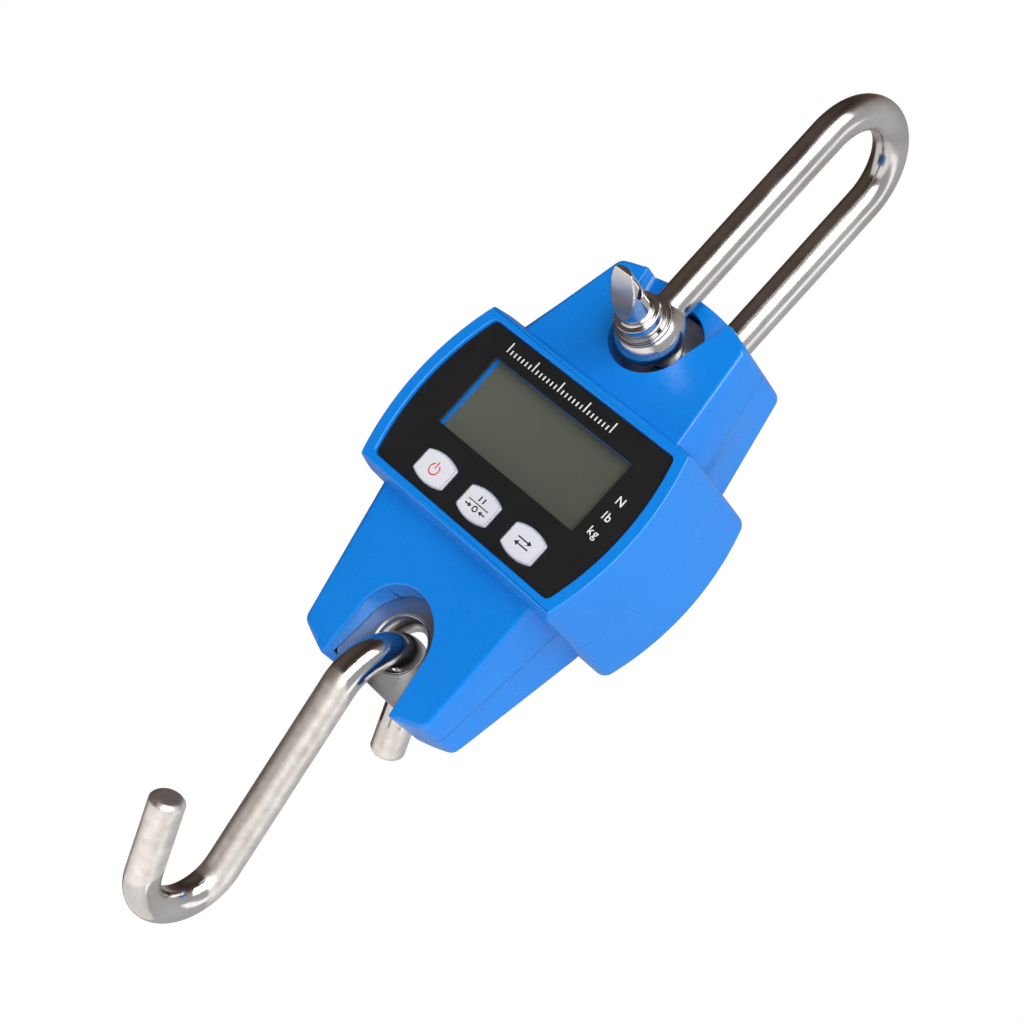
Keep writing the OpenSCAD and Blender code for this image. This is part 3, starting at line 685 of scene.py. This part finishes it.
def makeIcons(s):
    x, z, y = keyMiddle("power_key")
    power = ringOutlines((0, 0), s["power"], s["line"], 122, 418, 22)
    power.append(barOutline((0, 0.2 * mm), (0, 2.3 * mm), s["line"]))
    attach(flatPrint("powerMark", moved(power, x, z - 0.2 * mm), finish["redPrint"], y), "key_power")
    x, z, y = keyMiddle("hold_key")
    zero = ringOutlines((0, -1.35 * mm), 0.75 * mm, s["line"], 0, 360, 16)
    zero += arrowOutlines((-3.9 * mm, -1.35 * mm), (-1.5 * mm, -1.35 * mm), s["line"], s["arrow"])
    zero += arrowOutlines((3.9 * mm, -1.35 * mm), (1.5 * mm, -1.35 * mm), s["line"], s["arrow"])
    zero.append(barOutline((-3.9 * mm, 0.1 * mm), (3.9 * mm, 0.1 * mm), s["line"] * 0.7))
    zero += [barOutline((-0.75 * mm, 0.9 * mm), (-0.75 * mm, 2.5 * mm), s["line"] * 1.3),
             barOutline((0.75 * mm, 0.9 * mm), (0.75 * mm, 2.5 * mm), s["line"] * 1.3)]
    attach(flatPrint("holdMark", moved(zero, x, z), finish["blackPrint"], y), "key_hold")
    x, z, y = keyMiddle("unit_key")
    swap = arrowOutlines((-2.6 * mm, 0.8 * mm), (2.6 * mm, 0.8 * mm), s["line"], s["arrow"] * 1.2)
    swap += arrowOutlines((2.6 * mm, -0.8 * mm), (-2.6 * mm, -0.8 * mm), s["line"], s["arrow"] * 1.2)
    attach(flatPrint("unitMark", moved(swap, x, z), finish["blackPrint"], y), "key_unit")


makeIcons(iconSizes)

unitSizes = {"x": 32.6 * mm, "size": 3.5 * mm, "weight": 0.03 * mm, "depth": 0.02 * mm, "spacing": 1.18,
             "sunk": 0.015 * mm, "rows": (("N", 6.9 * mm), ("lb", 1.7 * mm), ("kg", -3.5 * mm))}


def makeUnits(s):
    # generic unit marks beside the window
    for index, (word, height) in enumerate(s["rows"]):
        curve = bpy.data.curves.new("unit%d" % index, "FONT")
        curve.body, curve.size, curve.extrude, curve.offset = word, s["size"], s["depth"], s["weight"]
        curve.align_x, curve.align_y, curve.space_character = "CENTER", "CENTER", s["spacing"]
        text = bpy.data.objects.new("unitText%d" % index, curve)
        scene.collection.objects.link(text)
        bpy.context.view_layer.update()
        mesh = bpy.data.meshes.new_from_object(text.evaluated_get(bpy.context.evaluated_depsgraph_get()))
        bpy.data.objects.remove(text)
        place = Matrix.Translation((s["x"], sheetLow.y - s["sunk"], boxZ + height))
        mesh.transform(place @ Matrix.Rotation(math.radians(90), 4, "X"))
        piece = addObject("unitMark%s" % word, mesh, finish["whitePrint"])
        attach(piece, "scale")


makeUnits(unitSizes)

tickSizes = {"count": 29, "pitch": 1.5 * mm, "width": 0.42 * mm, "short": 1.4 * mm, "long": 3.2 * mm,
             "every": 7, "left": -26.3 * mm, "low": 19.2 * mm, "sunk": 0.01 * mm, "depth": 0.04 * mm}


def groupSocket(tree, name, kind, value=None, direction="INPUT"):
    socket = tree.interface.new_socket(name, in_out=direction, socket_type=kind)
    if value is not None:
        socket.default_value = value
    return socket


def tickTree():
    # a graduated line: bars in a row, each n-th one longer
    tree = bpy.data.node_groups.new("graduatedLine", "GeometryNodeTree")
    groupSocket(tree, "Geometry", "NodeSocketGeometry", direction="OUTPUT")
    for name, kind in (("Count", "NodeSocketInt"), ("Every", "NodeSocketInt"), ("Pitch", "NodeSocketFloat"),
                       ("Width", "NodeSocketFloat"), ("Short", "NodeSocketFloat"),
                       ("Long", "NodeSocketFloat"), ("Finish", "NodeSocketMaterial")):
        groupSocket(tree, name, kind)
    new, link = tree.nodes.new, tree.links.new
    given, out = new("NodeGroupInput"), new("NodeGroupOutput")
    spread = new("ShaderNodeCombineXYZ")
    link(given.outputs["Pitch"], spread.inputs["X"])
    row = new("GeometryNodeMeshLine")
    link(given.outputs["Count"], row.inputs["Count"])
    link(spread.outputs[0], row.inputs["Offset"])
    bar = new("GeometryNodeMeshCube")
    bar.inputs["Size"].default_value = (1, tickSizes["depth"], 1)
    index = new("GeometryNodeInputIndex")
    modulo = new("ShaderNodeMath")
    modulo.operation = "MODULO"
    link(index.outputs[0], modulo.inputs[0])
    link(given.outputs["Every"], modulo.inputs[1])
    isLong = new("ShaderNodeMath")
    isLong.operation = "LESS_THAN"
    isLong.inputs[1].default_value = 0.5
    link(modulo.outputs[0], isLong.inputs[0])
    height = new("GeometryNodeSwitch")
    height.input_type = "FLOAT"
    link(isLong.outputs[0], height.inputs["Switch"])
    link(given.outputs["Short"], height.inputs["False"])
    link(given.outputs["Long"], height.inputs["True"])
    size = new("ShaderNodeCombineXYZ")
    size.inputs["Y"].default_value = 1
    link(given.outputs["Width"], size.inputs["X"])
    link(height.outputs[0], size.inputs["Z"])
    half = new("ShaderNodeMath")
    half.operation = "MULTIPLY"
    half.inputs[1].default_value = 0.5
    link(height.outputs[0], half.inputs[0])
    lift = new("ShaderNodeCombineXYZ")
    link(half.outputs[0], lift.inputs["Z"])
    raised = new("GeometryNodeSetPosition")
    link(row.outputs[0], raised.inputs["Geometry"])
    link(lift.outputs[0], raised.inputs["Offset"])
    place = new("GeometryNodeInstanceOnPoints")
    link(raised.outputs[0], place.inputs["Points"])
    link(bar.outputs[0], place.inputs["Instance"])
    link(size.outputs[0], place.inputs["Scale"])
    real, paint = new("GeometryNodeRealizeInstances"), new("GeometryNodeSetMaterial")
    link(place.outputs[0], real.inputs[0])
    link(real.outputs[0], paint.inputs["Geometry"])
    link(given.outputs["Finish"], paint.inputs["Material"])
    link(paint.outputs[0], out.inputs[0])
    return tree


def grown(name, tree, values):
    # runs a geometry tree on an empty mesh and keeps the result as a plain mesh at the origin
    piece = addObject(name, bpy.data.meshes.new(name))
    modifier = piece.modifiers.new("grow", "NODES")
    modifier.node_group = tree
    for socket in tree.interface.items_tree:
        if socket.in_out == "INPUT" and socket.name in values:
            modifier[socket.identifier] = values[socket.name]
    return evaluated(piece)


def makeTicks(s):
    ticks = grown("graduatedLine", tickTree(), {
        "Count": s["count"], "Every": s["every"], "Pitch": s["pitch"], "Width": s["width"],
        "Short": s["short"], "Long": s["long"], "Finish": finish["whitePrint"]})
    ticks.data.transform(Matrix.Translation((s["left"], sheetLow.y - s["sunk"], boxZ + s["low"])))
    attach(ticks, "scale")


makeTicks(tickSizes)
nodes["display_window"].data.materials[0] = finish["window"]
print("face and keys made")

# metal pieces
stand(forged("shackle", "bowShackle", finish["bow"], 0.42 * mm, 5, 0.03 * mm), "shackle")
stand(forged("shackle_pin", "screwPin", finish["pin"], 0.24 * mm, 4, 0.01 * mm), "shackle_pin")
hook = forged("s_hook", "openHook", finish["hook"], 0.42 * mm, 5, 0.025 * mm)
stand(hook, "s_hook")

hookLow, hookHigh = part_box("s_hook")
wearSizes = {"crown": 24 * mm, "bottom": 15 * mm, "fade": 3 * mm,
             "crownDrop": 5 * mm, "bottomIn": 29.6 * mm, "bottomRise": 6 * mm}


def wearHook(s):
    # 1 where the bar is tumbled, 0 where it is bright: the crown and the lower bend
    crown = Vector((0, 0, hookHigh.z - s["crownDrop"]))
    bottom = Vector((0, hookLow.y + s["bottomIn"], hookLow.z + s["bottomRise"]))
    layer = hook.data.attributes.new("tumbled", "FLOAT", "POINT")
    values = []
    for vertex in hook.data.vertices:
        near = min((vertex.co - crown).length - s["crown"], (vertex.co - bottom).length - s["bottom"])
        values.append(max(0.0, min(1.0, near / s["fade"] + 0.5)))
    layer.data.foreach_set("value", values)


wearHook(wearSizes)
for nodeName, pieceName, kind, width in (
        ("load_cell", "loadPlate", "cell", 0.35), ("eye_ring", "eyeRing", "ring", 0.15),
        ("spring_washer", "springWasher", "ring", 0.2), ("flat_washer", "flatWasher", "ring", 0.2),
        ("housing_screws", "housingScrews", "screw", 0.25), ("cell_screws", "plateScrews", "screw", 0.25),
        ("board_screws", "boardScrews", "screw", 0.15), ("batteries", "cells", "battery", 0.5)):
    stand(bevelled(nodeName, pieceName, finish[kind], lambda p, e, w=width: w * mm), nodeName)
for nodeName, kind in (("lcd_frame", "frame"), ("contact_strips", "strip"), ("main_board", "board"),
                       ("processor_blob", "black"), ("key_switches", "black"), ("buzzer", "black"),
                       ("strain_gauges", "foil"), ("gauge_sealant", "sealant"), ("gauge_lead", "lead"),
                       ("battery_contacts", "contact"), ("battery_lead", "wire")):
    nodes[nodeName].data.materials[0] = finish[kind]
print("metal pieces made")

# floor
floorHalf = lightSettings["floorHalf"]
floorZ = cadBox[0].z - lightSettings["floorDrop"]
floorMesh = bpy.data.meshes.new("floor")
corners = ((-1, -1), (1, -1), (1, 1), (-1, 1))
floorMesh.from_pydata([(x * floorHalf, y * floorHalf, floorZ) for x, y in corners], [], [(0, 1, 2, 3)])
floorShader = Shader("paleFloor", Roughness=0.9, Emission_Color=(1, 1, 1, 1), Emission_Strength=0.55)
floorGreys = [(0.3, (0.92, 0.92, 0.92)), (0.7, (0.94, 0.94, 0.94))]
floorShader.set(Base_Color=floorShader.ramp(floorShader.noise(3), floorGreys))
floor = addObject("floor", floorMesh, floorShader.material)
